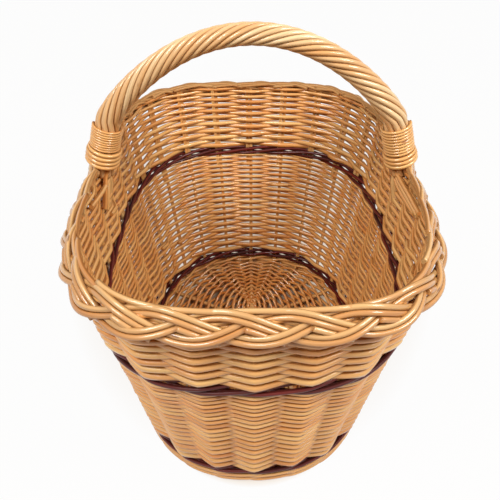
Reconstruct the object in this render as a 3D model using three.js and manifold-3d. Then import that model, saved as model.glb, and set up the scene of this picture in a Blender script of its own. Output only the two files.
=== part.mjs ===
// Willow shopping basket with a fixed roped handle.
// Millimetres, +Z up. The origin is the middle of the base, on the surface that the basket stands on.
// X runs across the basket, the way the handle spans. Y runs along it, and -Y is the front.

import * as THREE from "three";
import { mergeVertices } from "three/addons/utils/BufferGeometryUtils.js";
import Module from "manifold-3d";

// The wall's middle surface: an oval at the foot that opens into a rounded rectangle at the rim
const FOOT_HALF_WIDTH = 128.5;
const FOOT_HALF_LENGTH = 179.5;
const RIM_HALF_WIDTH = 157.5;
const RIM_HALF_LENGTH = 225.5;
const FOOT_SQUARENESS = 2.35;
const RIM_SQUARENESS = 3.45;
const WALL_BOW = 1.3;
const CORNER_BOW = 2;

// Heights of the woven bands
const FOOT_WALE_HEIGHT = 17;
const DARK_WALE_HEIGHT = 10.8;
const LOWER_SIDING_HEIGHT = 146.4;
const UPPER_SIDING_HEIGHT = 75.6;

// How far each band stands out from the middle surface
const SIDING_REACH = 5.8;
const DARK_WALE_REACH = 7.2;
const FOOT_WALE_REACH = 8.2;

// The sidings' weave: a row of relief stands for two rods, which lie in front of one stake and behind
// the next, and cross between the stakes, where the wall is thin
const LOWER_SIDING_RODS = 35;
const UPPER_SIDING_RODS = 18;
const RODS_PER_ROW = 2;
const WEAVE_CREST = 7;
const WEAVE_TROUGH = 4.8;
const WEAVE_WAIST = 2.4;

// The plaited border, a leaning oval bead on top of the wall
const BORDER_HEIGHT = 14;
const BORDER_OVERHANG = 14;
const BORDER_DROP = 13.5;
const BORDER_INNER_LIP = 8.6;

// Stakes, each with its bye-stake beside it, kinked at the foot and pushed into the base
const STAKE_COUNT = 28;
const STAKE_PAIR_WIDTH = 9.2;
const STAKE_THICKNESS = 4.6;
const STAKE_LEG_LENGTH = 44;
const STAKE_LEG_HEIGHT = 5.4;
const STAKE_LEVELS = 4;

// The woven base and the sticks that it is woven round
const BASE_UNDERSIDE = 1.2;
const BASE_THICKNESS = 15;
const STICK_HEIGHT = 11.4;
const CROSS_STICK_COUNT = 7;
const CROSS_STICK_END_ROOM = 69;
const CROSS_STICK_WIDTH = 9;
const CROSS_STICK_THICKNESS = 6.6;
const LONG_STICK_COUNT = 3;
const LONG_STICK_SPACING = 20;
const LONG_STICK_WIDTH = 6.2;
const LONG_STICK_THICKNESS = 3;
const STICK_END_INSET = 4;

// The handle: a bow rod with rods roped round it
const HANDLE_RISE = 400;
const HANDLE_FOOT_HALF_SPAN = 151.5;
const HANDLE_LEAN = THREE.MathUtils.degToRad(15.6);
const HANDLE_LEG_LENGTH = 43.2;
const HANDLE_SHOULDER = 8;
const HANDLE_CROWN_REACH = 81.3;
const ROPE_RADIUS_TOP = 10.3;
const ROPE_RADIUS_FOOT = 13;
const BOW_RADIUS = 4.4;
const BOW_LEG_END = 196;
const ROPE_SIDES = 12;
const BOW_SIDES = 8;
const CROWN_STEPS = 10;

// The bindings wound round the handle's feet
const BINDING_ROD_RADIUS = 1.35;
const BINDING_PITCH = 3.2;
const LEFT_BINDING_TURNS = 13;
const RIGHT_BINDING_TURNS = 11;
const BINDING_STEPS = 14;
const BINDING_SIDES = 5;

// Clearances
const SEAT = 0.3;
const STAKE_FIT = 0.35;
const STICK_FIT = 0.3;
const BOW_FIT = 0.4;
const BINDING_FIT = 0.6;

// Rings have two columns for each stake: one at the stake and one midway to the next
const RING_SEGMENTS = 2 * STAKE_COUNT;
const LOOP_SAMPLES = 1440;

const LOWER_DARK_BOTTOM = FOOT_WALE_HEIGHT + SEAT;
const LOWER_SIDING_BOTTOM = LOWER_DARK_BOTTOM + DARK_WALE_HEIGHT + SEAT;
const UPPER_DARK_BOTTOM = LOWER_SIDING_BOTTOM + LOWER_SIDING_HEIGHT + SEAT;
const UPPER_SIDING_BOTTOM = UPPER_DARK_BOTTOM + DARK_WALE_HEIGHT + SEAT;
const WALL_TOP = UPPER_SIDING_BOTTOM + UPPER_SIDING_HEIGHT;
const BORDER_TOP = WALL_TOP + BORDER_HEIGHT;
const BINDING_FOOT = BORDER_TOP + SEAT;
const LEG_TOP = BINDING_FOOT + HANDLE_LEG_LENGTH;
const CROSS_STICK_SPACING = 2 * (FOOT_HALF_LENGTH - CROSS_STICK_END_ROOM) / (CROSS_STICK_COUNT - 1);

const wasm = await Module();
wasm.setup();

const basket = new THREE.Group();

const buffWillow = { color: 0xd6a066, roughness: 0.42, metalness: 0 };
const peeledWillow = { color: 0xe2b981, roughness: 0.48, metalness: 0 };
const darkWillow = { color: 0x55171c, roughness: 0.38, metalness: 0 };

// Geometry and solids

function geometryOf(positions, triangles) {
  const geometry = new THREE.BufferGeometry();
  geometry.setAttribute("position", new THREE.Float32BufferAttribute(positions.flat(), 3));
  geometry.setIndex(triangles.flat());
  return geometry;
}

function signedVolume(geometry) {
  const position = geometry.getAttribute("position");
  const index = geometry.getIndex();
  const corners = [new THREE.Vector3(), new THREE.Vector3(), new THREE.Vector3()];
  let sum = 0;
  for (let i = 0; i < index.count; i += 3) {
    corners.forEach((corner, k) => corner.fromBufferAttribute(position, index.getX(i + k)));
    sum += corners[0].dot(corners[1].clone().cross(corners[2]));
  }
  return sum / 6;
}

// Turns the faces outwards if the points ran the other way round
function facingOut(geometry) {
  if (signedVolume(geometry) >= 0) return geometry;
  const index = geometry.getIndex();
  for (let i = 0; i < index.count; i += 3) {
    const second = index.getX(i + 1);
    index.setX(i + 1, index.getX(i + 2));
    index.setX(i + 2, second);
  }
  return geometry;
}

function solidOf(geometry) {
  const bare = geometry.clone();
  bare.deleteAttribute("normal");
  bare.deleteAttribute("uv");
  const merged = facingOut(mergeVertices(bare, 1e-4));
  return new wasm.Manifold(new wasm.Mesh({
    numProp: 3,
    vertProperties: new Float32Array(merged.getAttribute("position").array),
    triVerts: new Uint32Array(merged.getIndex().array),
  }));
}

function geometryFrom(solid) {
  const mesh = solid.getMesh();
  const geometry = new THREE.BufferGeometry();
  geometry.setAttribute("position", new THREE.Float32BufferAttribute(mesh.vertProperties, 3));
  geometry.setIndex(Array.from(mesh.triVerts));
  return geometry;
}

function cutFrom(geometry, cutters) {
  let solid = solidOf(geometry);
  for (const cutter of cutters) {
    solid = solid.subtract(solidOf(cutter));
  }
  return geometryFrom(solid);
}

function add(name, geometry, finish) {
  const mesh = new THREE.Mesh(geometry, new THREE.MeshStandardMaterial(finish));
  mesh.name = name;
  basket.add(mesh);
}

// The wall's middle surface

function wallRise(height) {
  const left = Math.max(0, 1 - height / WALL_TOP);
  return 1 - left ** WALL_BOW;
}

function halfWidthAt(height) {
  return FOOT_HALF_WIDTH + (RIM_HALF_WIDTH - FOOT_HALF_WIDTH) * wallRise(height);
}

function halfLengthAt(height) {
  return FOOT_HALF_LENGTH + (RIM_HALF_LENGTH - FOOT_HALF_LENGTH) * wallRise(height);
}

function squarenessAt(height) {
  const part = Math.min(1, height / WALL_TOP);
  return FOOT_SQUARENESS + (RIM_SQUARENESS - FOOT_SQUARENESS) * part ** CORNER_BOW;
}

// A rounded rectangle at one height, walked from the front middle towards +X
const loops = new Map();

function loopAt(height) {
  if (loops.has(height)) return loops.get(height);
  const power = 2 / squarenessAt(height);
  const points = [];
  const lengths = [0];
  for (let i = 0; i <= LOOP_SAMPLES; i++) {
    const angle = (i / LOOP_SAMPLES - 0.25) * 2 * Math.PI;
    const x = Math.sign(Math.cos(angle)) * Math.abs(Math.cos(angle)) ** power;
    const y = Math.sign(Math.sin(angle)) * Math.abs(Math.sin(angle)) ** power;
    points.push(new THREE.Vector2(x * halfWidthAt(height), y * halfLengthAt(height)));
    if (i > 0) lengths.push(lengths[i - 1] + points[i].distanceTo(points[i - 1]));
  }
  const loop = { points, lengths };
  loops.set(height, loop);
  return loop;
}

function middlePoint(height, turn) {
  const { points, lengths } = loopAt(height);
  const wrapped = turn - Math.floor(turn);
  const target = wrapped * lengths[LOOP_SAMPLES];
  let low = 0;
  let high = LOOP_SAMPLES;
  while (high - low > 1) {
    const middle = (low + high) >> 1;
    if (lengths[middle] <= target) low = middle;
    else high = middle;
  }
  const share = (target - lengths[low]) / (lengths[high] - lengths[low]);
  return points[low].clone().lerp(points[high], share);
}

// Along the wall and out of it, at a share of the way round
function wallAxes(height, turn) {
  const step = 0.001;
  const along = middlePoint(height, turn + step).sub(middlePoint(height, turn - step)).normalize();
  return {
    along: new THREE.Vector3(along.x, along.y, 0),
    out: new THREE.Vector3(along.y, -along.x, 0),
  };
}

function wallPoint(height, turn, reach) {
  const middle = middlePoint(height, turn);
  const { out } = wallAxes(height, turn);
  return new THREE.Vector3(middle.x, middle.y, height).addScaledVector(out, reach);
}

function ringTurn(j) {
  return j / RING_SEGMENTS;
}

// The stakes run straight from one of these heights to the next
const stakeHeights = Array.from({ length: STAKE_LEVELS }, (_, level) => {
  return THREE.MathUtils.lerp(LOWER_SIDING_BOTTOM, WALL_TOP - SEAT, level / (STAKE_LEVELS - 1));
});

// A point of a wall that follows the stakes from height to height
function besideStakes(height, turn, reach) {
  let upper = 1;
  while (upper < STAKE_LEVELS - 1 && stakeHeights[upper] < height) upper++;
  const low = stakeHeights[upper - 1];
  const high = stakeHeights[upper];
  return wallPoint(low, turn, reach).lerp(wallPoint(high, turn, reach), (height - low) / (high - low));
}

// A closed ring. sectionAt gives a column's section as a list of [reach, height]
function bandRing(sectionAt, pointAt = wallPoint) {
  const positions = [];
  const triangles = [];
  const count = sectionAt(0).length;
  for (let j = 0; j < RING_SEGMENTS; j++) {
    for (const [reach, height] of sectionAt(j)) {
      positions.push(pointAt(height, ringTurn(j), reach).toArray());
    }
  }
  for (let j = 0; j < RING_SEGMENTS; j++) {
    const here = j * count;
    const next = ((j + 1) % RING_SEGMENTS) * count;
    for (let k = 0; k < count; k++) {
      const up = (k + 1) % count;
      triangles.push([here + k, next + k, next + up], [here + k, next + up, here + up]);
    }
  }
  return facingOut(geometryOf(positions, triangles));
}

// A flat plate whose edge follows the wall's inner face
function basePlate(bottom, top, reach) {
  const positions = [[0, 0, bottom], [0, 0, top]];
  const triangles = [];
  for (let j = 0; j < RING_SEGMENTS; j++) {
    positions.push(wallPoint(bottom, ringTurn(j), reach).toArray());
    positions.push(wallPoint(top, ringTurn(j), reach).toArray());
  }
  for (let j = 0; j < RING_SEGMENTS; j++) {
    const low = 2 + 2 * j;
    const nextLow = 2 + 2 * ((j + 1) % RING_SEGMENTS);
    triangles.push([low, nextLow, nextLow + 1], [low, nextLow + 1, low + 1]);
    triangles.push([0, nextLow, low], [1, low + 1, nextLow + 1]);
  }
  return facingOut(geometryOf(positions, triangles));
}

// A rod through a list of rings; each ring is a centre and two axes that the section is drawn on
function rodThrough(rings, sectionAt) {
  const positions = [];
  const triangles = [];
  const sides = sectionAt(0).length;
  rings.forEach(({ centre, across, over }, i) => {
    for (const [a, b] of sectionAt(i)) {
      positions.push(centre.clone().addScaledVector(across, a).addScaledVector(over, b).toArray());
    }
  });
  for (let i = 0; i + 1 < rings.length; i++) {
    for (let k = 0; k < sides; k++) {
      const here = i * sides;
      const next = here + sides;
      const other = (k + 1) % sides;
      triangles.push([here + k, here + other, next + other], [here + k, next + other, next + k]);
    }
  }
  const last = (rings.length - 1) * sides;
  for (let k = 1; k + 1 < sides; k++) {
    triangles.push([0, k + 1, k], [last, last + k, last + k + 1]);
  }
  return facingOut(geometryOf(positions, triangles));
}

function roundSection(radius, sides) {
  return Array.from({ length: sides }, (_, k) => {
    const angle = ((k + 0.5) / sides) * 2 * Math.PI;
    return [radius * Math.cos(angle), radius * Math.sin(angle)];
  });
}

function flatSection(width, thickness) {
  const shoulder = width / 2 - thickness / 2;
  return [
    [-width / 2, 0],
    [-shoulder, -thickness / 2],
    [shoulder, -thickness / 2],
    [width / 2, 0],
    [shoulder, thickness / 2],
    [-shoulder, thickness / 2],
  ];
}

function slotSection(width, thickness) {
  return [
    [-width / 2, -thickness / 2],
    [width / 2, -thickness / 2],
    [width / 2, thickness / 2],
    [-width / 2, thickness / 2],
  ];
}

// Stakes: a leg in the base, a kink, and a stem up the middle of the wall

function stakeRings(index, legExtra, topExtra) {
  const turn = index / STAKE_COUNT;
  const foot = wallAxes(STAKE_LEG_HEIGHT, turn);
  const down = new THREE.Vector3(0, 0, -1);
  const rings = [
    {
      centre: wallPoint(STAKE_LEG_HEIGHT, turn, -STAKE_LEG_LENGTH - legExtra),
      across: foot.along,
      over: down,
    },
    {
      centre: wallPoint(STAKE_LEG_HEIGHT, turn, 0),
      across: foot.along,
      over: foot.out.clone().add(down),
    },
  ];
  for (const height of stakeHeights) {
    const { along, out } = wallAxes(height, turn);
    rings.push({ centre: wallPoint(height, turn, 0), across: along, over: out });
  }
  if (topExtra > 0) {
    const end = rings[rings.length - 1];
    const before = rings[rings.length - 2];
    const rise = end.centre.clone().sub(before.centre).normalize();
    rings.push({ ...end, centre: end.centre.clone().addScaledVector(rise, topExtra) });
  }
  return rings;
}

const stakeTunnels = Array.from({ length: STAKE_COUNT }, (_, i) => {
  const section = slotSection(STAKE_PAIR_WIDTH + 2 * STAKE_FIT, STAKE_THICKNESS + 2 * STAKE_FIT);
  return rodThrough(stakeRings(i, STAKE_FIT, BORDER_HEIGHT / 2), () => section);
});

for (let i = 0; i < STAKE_COUNT; i++) {
  const section = flatSection(STAKE_PAIR_WIDTH, STAKE_THICKNESS);
  const name = `stake_pair_${String(i + 1).padStart(2, "0")}`;
  add(name, rodThrough(stakeRings(i, 0, 0), () => section), peeledWillow);
}

// Base sticks: long sticks run through slits in the cross sticks

const basePlateReach = -(SIDING_REACH + SEAT);

// Half the room inside the base's edge, at a distance along the other axis
function baseRoom(distance, halfAlong, halfAcross) {
  const power = squarenessAt(STICK_HEIGHT);
  const inner = halfAlong + basePlateReach;
  const outer = halfAcross + basePlateReach;
  return outer * (1 - (Math.abs(distance) / inner) ** power) ** (1 / power);
}

function crossStickRings(place, extra) {
  const room = baseRoom(place, halfLengthAt(STICK_HEIGHT), halfWidthAt(STICK_HEIGHT));
  const half = room - STICK_END_INSET + extra;
  return [-half, half].map((x) => ({
    centre: new THREE.Vector3(x, place, STICK_HEIGHT),
    across: new THREE.Vector3(0, 1, 0),
    over: new THREE.Vector3(0, 0, 1),
  }));
}

function longStickRings(place, extra) {
  const room = baseRoom(place, halfWidthAt(STICK_HEIGHT), halfLengthAt(STICK_HEIGHT));
  const half = room - STICK_END_INSET + extra;
  return [-half, half].map((y) => ({
    centre: new THREE.Vector3(place, y, STICK_HEIGHT),
    across: new THREE.Vector3(1, 0, 0),
    over: new THREE.Vector3(0, 0, 1),
  }));
}

function stickPlaces(count, spacing) {
  return Array.from({ length: count }, (_, i) => (i - (count - 1) / 2) * spacing);
}

const crossPlaces = stickPlaces(CROSS_STICK_COUNT, CROSS_STICK_SPACING);
const longPlaces = stickPlaces(LONG_STICK_COUNT, LONG_STICK_SPACING);
const throughEdge = STICK_END_INSET + SIDING_REACH;

const longSlots = longPlaces.map((place) => {
  const section = slotSection(LONG_STICK_WIDTH + 2 * STICK_FIT, LONG_STICK_THICKNESS + 2 * STICK_FIT);
  return rodThrough(longStickRings(place, throughEdge), () => section);
});
const crossSlots = crossPlaces.map((place) => {
  const section = slotSection(CROSS_STICK_WIDTH + 2 * STICK_FIT, CROSS_STICK_THICKNESS + 2 * STICK_FIT);
  return rodThrough(crossStickRings(place, throughEdge), () => section);
});

longPlaces.forEach((place, i) => {
  const section = flatSection(LONG_STICK_WIDTH, LONG_STICK_THICKNESS);
  add(`base_long_stick_${i + 1}`, rodThrough(longStickRings(place, 0), () => section), peeledWillow);
});
crossPlaces.forEach((place, i) => {
  const section = flatSection(CROSS_STICK_WIDTH, CROSS_STICK_THICKNESS);
  const stick = rodThrough(crossStickRings(place, 0), () => section);
  add(`base_cross_stick_${i + 1}`, cutFrom(stick, longSlots), peeledWillow);
});

const plate = basePlate(BASE_UNDERSIDE, BASE_UNDERSIDE + BASE_THICKNESS, basePlateReach);
add("base_weave", cutFrom(plate, [...crossSlots, ...longSlots, ...stakeTunnels]), buffWillow);

// The handle's centre line: a leaning leg, a shoulder and half a crown, mirrored for the other side

function legPoint(height) {
  const x = HANDLE_FOOT_HALF_SPAN - (height - BORDER_TOP) * Math.tan(HANDLE_LEAN);
  return new THREE.Vector2(x, height);
}

const shoulderStart = legPoint(LEG_TOP);
const crown = new THREE.CubicBezierCurve(
  shoulderStart,
  shoulderStart.clone().add(
    new THREE.Vector2(-Math.sin(HANDLE_LEAN), Math.cos(HANDLE_LEAN)).multiplyScalar(HANDLE_SHOULDER),
  ),
  new THREE.Vector2(HANDLE_CROWN_REACH, HANDLE_RISE),
  new THREE.Vector2(0, HANDLE_RISE),
);

// From the +X foot over the top to the -X foot
function archLine(footHeight) {
  const half = [legPoint(footHeight), ...crown.getPoints(CROWN_STEPS)];
  const mirrored = half.slice(0, -1).reverse().map((p) => new THREE.Vector2(-p.x, p.y));
  return [...half, ...mirrored];
}

// Rings across a line in the handle's plane; an end ring may lie level instead
function archRings(line, levelEnds) {
  return line.map((p, i) => {
    const before = line[Math.max(0, i - 1)];
    const after = line[Math.min(line.length - 1, i + 1)];
    const ahead = after.clone().sub(before).normalize();
    const atEnd = i === 0 || i === line.length - 1;
    const out = new THREE.Vector3(ahead.y, 0, -ahead.x);
    const level = new THREE.Vector3(Math.sign(out.x) || 1, 0, 0);
    return {
      centre: new THREE.Vector3(p.x, 0, p.y),
      across: new THREE.Vector3(0, 1, 0),
      over: levelEnds && atEnd ? level : out,
    };
  });
}

function ropeRadius(height) {
  const part = THREE.MathUtils.clamp((height - BORDER_TOP) / (HANDLE_RISE - BORDER_TOP), 0, 1);
  return THREE.MathUtils.lerp(ROPE_RADIUS_FOOT, ROPE_RADIUS_TOP, part);
}

// The bow's ends bend in past the border and run down the wall's inner face
function bowLine() {
  const besideWall = (height) => {
    const x = halfWidthAt(height) - SIDING_REACH - BOW_FIT - BOW_RADIUS;
    return new THREE.Vector2(x, height);
  };
  const tucked = [
    besideWall(BOW_LEG_END),
    besideWall((BOW_LEG_END + WALL_TOP) / 2),
    besideWall(WALL_TOP - BORDER_HEIGHT),
    besideWall(WALL_TOP).add(new THREE.Vector2(SIDING_REACH / 2, 0)),
  ];
  const arch = archLine(BINDING_FOOT);
  const mirrored = [...tucked].reverse().map((p) => new THREE.Vector2(-p.x, p.y));
  return [...tucked, ...arch, ...mirrored];
}

const bowRings = archRings(bowLine(), false);
add("handle_bow", rodThrough(bowRings, () => roundSection(BOW_RADIUS, BOW_SIDES)), peeledWillow);

const bowBore = rodThrough(bowRings, () => roundSection(BOW_RADIUS + BOW_FIT, BOW_SIDES));
const ropeLine = archLine(BINDING_FOOT);
const rope = rodThrough(
  archRings(ropeLine, true),
  (i) => roundSection(ropeRadius(ropeLine[i].y), ROPE_SIDES),
);
add("handle_rope", cutFrom(rope, [bowBore]), buffWillow);

// Woven bands, each with the stakes' tunnels through it

// Where a row lies in front of the stake the wall stands out outside, and where it lies behind, inside.
// Under the border the outside stays flat.
function sidingSection(bottom, height, rods) {
  const rows = Math.round(rods / RODS_PER_ROW);
  const pitch = height / rows;
  const flatAbove = WALL_TOP - BORDER_DROP - pitch;
  return (column) => {
    const atStake = column % 2 === 0;
    const edge = atStake ? SIDING_REACH : WEAVE_WAIST;
    const outside = [[edge, bottom]];
    const inside = [[-edge, bottom]];
    for (let row = 0; row < rows; row++) {
      const level = bottom + (row + 0.5) * pitch;
      const inFront = (column / 2 + row) % 2 === 0;
      const outer = inFront ? WEAVE_CREST : WEAVE_TROUGH;
      const inner = inFront ? WEAVE_TROUGH : WEAVE_CREST;
      const limit = level > flatAbove ? SIDING_REACH : WEAVE_CREST;
      outside.push([atStake ? Math.min(outer, limit) : WEAVE_WAIST, level]);
      inside.unshift([atStake ? -inner : -WEAVE_WAIST, level]);
    }
    outside.push([edge, bottom + height]);
    inside.unshift([-edge, bottom + height]);
    return [...outside, ...inside];
  };
}

function darkWaleSection(bottom) {
  const top = bottom + DARK_WALE_HEIGHT;
  const middle = bottom + DARK_WALE_HEIGHT / 2;
  return [
    [-SIDING_REACH, bottom],
    [SIDING_REACH, bottom],
    [DARK_WALE_REACH, middle],
    [SIDING_REACH, top],
    [-SIDING_REACH, top],
  ];
}

const footWaleSection = [
  [-SIDING_REACH, 0],
  [SIDING_REACH, 0],
  [FOOT_WALE_REACH, FOOT_WALE_HEIGHT / 3],
  [FOOT_WALE_REACH, FOOT_WALE_HEIGHT * 2 / 3],
  [SIDING_REACH, FOOT_WALE_HEIGHT],
  [-SIDING_REACH, FOOT_WALE_HEIGHT],
];

const borderSection = [
  [-SIDING_REACH, WALL_TOP + SEAT],
  [SIDING_REACH + SEAT, WALL_TOP + SEAT],
  [SIDING_REACH + SEAT, WALL_TOP - BORDER_DROP],
  [BORDER_OVERHANG - BORDER_HEIGHT / 4, WALL_TOP - BORDER_DROP],
  [BORDER_OVERHANG, WALL_TOP - BORDER_DROP / 2],
  [BORDER_OVERHANG - BORDER_HEIGHT / 6, WALL_TOP + BORDER_HEIGHT / 4],
  [SIDING_REACH + SEAT, BORDER_TOP],
  [-BORDER_INNER_LIP / 2, BORDER_TOP],
  [-BORDER_INNER_LIP, WALL_TOP + BORDER_HEIGHT / 2],
];

const footWale = bandRing(() => footWaleSection);
const lowerDarkWale = bandRing(() => darkWaleSection(LOWER_DARK_BOTTOM));
const lowerSiding = bandRing(
  sidingSection(LOWER_SIDING_BOTTOM, LOWER_SIDING_HEIGHT, LOWER_SIDING_RODS),
  besideStakes,
);
const upperDarkWale = bandRing(() => darkWaleSection(UPPER_DARK_BOTTOM));
const upperSiding = bandRing(
  sidingSection(UPPER_SIDING_BOTTOM, UPPER_SIDING_HEIGHT, UPPER_SIDING_RODS),
  besideStakes,
);
const border = bandRing(() => borderSection);

add("foot_wale", cutFrom(footWale, stakeTunnels), buffWillow);
add("lower_dark_wale", cutFrom(lowerDarkWale, stakeTunnels), darkWillow);
add("lower_siding", cutFrom(lowerSiding, stakeTunnels), buffWillow);
add("upper_dark_wale", cutFrom(upperDarkWale, stakeTunnels), darkWillow);
add("upper_siding", cutFrom(upperSiding, [...stakeTunnels, bowBore]), buffWillow);
add("plaited_border", cutFrom(border, [bowBore]), buffWillow);

// Bindings: one unbroken rod wound round each foot of the handle, up from the border

function bindingPoint(side, angle, startHeight) {
  const climb = (angle / (2 * Math.PI)) * BINDING_PITCH;
  const height = startHeight + climb * Math.cos(HANDLE_LEAN);
  const centre = legPoint(height);
  const radius = ROPE_RADIUS_FOOT + BINDING_FIT + BINDING_ROD_RADIUS;
  const across = radius * Math.cos(angle);
  return new THREE.Vector3(
    side * (centre.x + across * Math.cos(HANDLE_LEAN)),
    radius * Math.sin(angle),
    height + across * Math.sin(HANDLE_LEAN),
  );
}

function bindingLine(side, turns) {
  const startHeight = BORDER_TOP + 1.5 * BINDING_ROD_RADIUS + SEAT;
  const steps = turns * BINDING_STEPS;
  return Array.from({ length: steps + 1 }, (_, i) => {
    return bindingPoint(side, (i / BINDING_STEPS) * 2 * Math.PI, startHeight);
  });
}

// The smallest gap between one turn and the next, measured from point to point
function leastGap(line) {
  let least = Infinity;
  for (let i = 0; i + BINDING_STEPS < line.length; i++) {
    least = Math.min(least, line[i].distanceTo(line[i + BINDING_STEPS]));
  }
  return least - 2 * BINDING_ROD_RADIUS;
}

function bindingRod(line) {
  const rings = line.map((centre, i) => {
    const before = line[Math.max(0, i - 1)];
    const after = line[Math.min(line.length - 1, i + 1)];
    const ahead = after.clone().sub(before).normalize();
    const over = new THREE.Vector3(0, 0, 1).addScaledVector(ahead, -ahead.z).normalize();
    return { centre, across: over.clone().cross(ahead), over };
  });
  return rodThrough(rings, () => roundSection(BINDING_ROD_RADIUS, BINDING_SIDES));
}

const leftLine = bindingLine(-1, LEFT_BINDING_TURNS);
const rightLine = bindingLine(1, RIGHT_BINDING_TURNS);
console.log(`binding turns lie ${Math.min(leastGap(leftLine), leastGap(rightLine)).toFixed(2)} mm apart`);
add("left_binding", bindingRod(leftLine), buffWillow);
add("right_binding", bindingRod(rightLine), buffWillow);

export default basket;
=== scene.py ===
"""Willow shopping basket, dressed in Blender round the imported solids.

Metres, +Z up, X across the basket and the way the handle spans, -Y towards the front.
"""

import math
import bpy
import numpy as np
from mathutils import Matrix


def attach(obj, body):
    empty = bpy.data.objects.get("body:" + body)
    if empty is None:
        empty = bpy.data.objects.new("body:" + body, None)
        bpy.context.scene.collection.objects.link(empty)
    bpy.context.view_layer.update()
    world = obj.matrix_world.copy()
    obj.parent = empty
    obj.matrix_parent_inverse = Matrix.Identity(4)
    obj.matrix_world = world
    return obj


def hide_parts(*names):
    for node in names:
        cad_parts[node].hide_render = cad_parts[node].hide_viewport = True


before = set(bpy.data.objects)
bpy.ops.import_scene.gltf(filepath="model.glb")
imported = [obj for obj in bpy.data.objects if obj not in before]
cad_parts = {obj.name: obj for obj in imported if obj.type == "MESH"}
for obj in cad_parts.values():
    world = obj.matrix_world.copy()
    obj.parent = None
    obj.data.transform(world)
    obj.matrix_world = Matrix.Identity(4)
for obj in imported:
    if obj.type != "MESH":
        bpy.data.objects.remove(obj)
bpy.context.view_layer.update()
draws = np.random.default_rng(28)

# Stakes: twenty-eight upright willow rods, each pushed into the base beside a stick, kinked at the foot
# and standing in the middle of the wall. From just under the upper dark band up, a bye-stake is beside each.

STAKE_COUNT = 28
STAKE_RADIUS = 0.0025
STAKE_SIDES = 10
BYE_STAKE_RADIUS = 0.0023
BYE_STAKE_START = 0.158
UPPER_WALL_LENGTH = 1.26
LEG_LENGTH = 0.044
LEG_HEIGHT = 0.0087
WALL_TOP = 0.2618
STAKE_TOP = 0.2670
FOOT_HALF_SPAN = np.array([0.1285, 0.1795])
RIM_HALF_SPAN = np.array([0.1575, 0.2255])
FOOT_SQUARENESS = 2.35
RIM_SQUARENESS = 3.45
WALL_BOW = 1.3
CORNER_BOW = 2
TABLE_LEVELS = 96
TABLE_TURNS = 1120
FINER = 8
NORMAL_STEPS = 6
TINY = 1e-12
UPWARDS = np.array([0.0, 0, 1])


def unit(vectors):
    """The vectors divided by their lengths."""
    return vectors / np.maximum(np.linalg.norm(vectors, axis=-1, keepdims=True), TINY)


def summed(steps):
    """The sum of the steps so far along the last axis, from 0 before the first."""
    return np.insert(np.cumsum(steps, axis=-1), 0, 0, axis=-1)


def oval_table():
    """Points of the wall's middle surface, one row a height, at equal shares of the way round.

    Each row is a rounded rectangle |x/a|^n + |y/b|^n = 1; a, b and n grow from foot to rim.
    It starts at the front middle and runs towards +X.
    """
    levels = np.linspace(0, WALL_TOP, TABLE_LEVELS)
    share = levels / WALL_TOP
    rise = 1 - (1 - share) ** WALL_BOW
    spans = FOOT_HALF_SPAN + (RIM_HALF_SPAN - FOOT_HALF_SPAN) * rise[:, None]
    power = 2 / (FOOT_SQUARENESS + (RIM_SQUARENESS - FOOT_SQUARENESS) * share**CORNER_BOW)
    angle = np.linspace(-0.5, 1.5, FINER * TABLE_TURNS + 1) * math.pi
    direction = np.stack([np.cos(angle), np.sin(angle)])
    table = np.empty((TABLE_LEVELS, TABLE_TURNS, 2))
    for level in range(TABLE_LEVELS):
        line = np.sign(direction) * np.abs(direction) ** power[level] * spans[level][:, None]
        length = summed(np.hypot(*np.diff(line)))
        even = np.arange(TABLE_TURNS) / TABLE_TURNS * length[-1]
        table[level] = np.stack([np.interp(even, length, axis) for axis in line], axis=1)
    return table


OVALS = oval_table()
OVAL_RUNS = np.roll(OVALS, -NORMAL_STEPS, axis=1) - np.roll(OVALS, NORMAL_STEPS, axis=1)
OVAL_NORMALS = unit(np.stack([OVAL_RUNS[..., 1], -OVAL_RUNS[..., 0]], axis=-1))


def read_table(table, height, turn):
    """A table's value at any height and share of the way round, blended between its four neighbours."""
    level = np.clip(height / WALL_TOP, 0, 1) * (TABLE_LEVELS - 1)
    place = np.mod(turn, 1) * TABLE_TURNS
    low = np.minimum(level.astype(int), TABLE_LEVELS - 2)
    left = place.astype(int) % TABLE_TURNS
    right = (left + 1) % TABLE_TURNS
    up = (level - low)[..., None]
    across = (place - np.floor(place))[..., None]
    below = table[low, left] * (1 - across) + table[low, right] * across
    above = table[low + 1, left] * (1 - across) + table[low + 1, right] * across
    return below * (1 - up) + above * up


def on_wall(stake, height, reach):
    """A point by its stake number, height and distance out of the wall's middle, and the way out there."""
    stake, height, reach = np.broadcast_arrays(stake, height, reach)
    turn = stake / STAKE_COUNT
    out = read_table(OVAL_NORMALS, height, turn)
    flat = read_table(OVALS, height, turn) + out * reach[..., None]
    point = np.concatenate([flat, height[..., None]], axis=-1)
    return point, np.concatenate([out, np.zeros_like(height)[..., None]], axis=-1)


LONGEST_OFFSET = 40


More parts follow.
